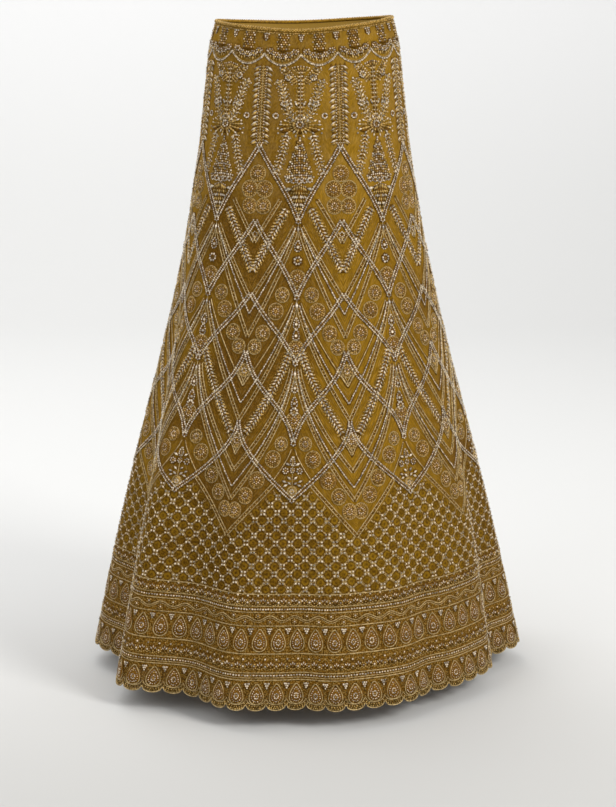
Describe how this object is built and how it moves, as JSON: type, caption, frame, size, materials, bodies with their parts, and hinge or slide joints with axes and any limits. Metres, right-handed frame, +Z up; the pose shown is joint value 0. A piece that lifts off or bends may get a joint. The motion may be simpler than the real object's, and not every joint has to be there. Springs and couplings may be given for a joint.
{
  "type": "lehenga skirt",
  "caption": "Floor-length flared lehenga skirt of embroidered net over a lining, worn open and empty, with a corded waist binding and a scalloped hem.",
  "frame": {"origin": "centre of the waist, level with the cloth's upper edge at the sides, where the wearer holds the skirt up", "axes": "+Z up along the skirt's axis, front centre towards -Y, the wearer's left towards +X"},
  "size_m": [0.7142, 0.655, 1.0378],
  "materials": {
    "embroidered_net": "fine net in deep mustard, heavily embroidered with gold and silver-pink beads",
    "lining": "smooth mustard satin with a low sheen",
    "binding": "rolled mustard cord sewn over with small beads"
  },
  "bodies": {
    "root": {"net_front": "embroidered_net", "net_back": "embroidered_net", "lining_front": "lining", "lining_back": "lining", "waist_binding": "binding"}
  },
  "joints": []
}
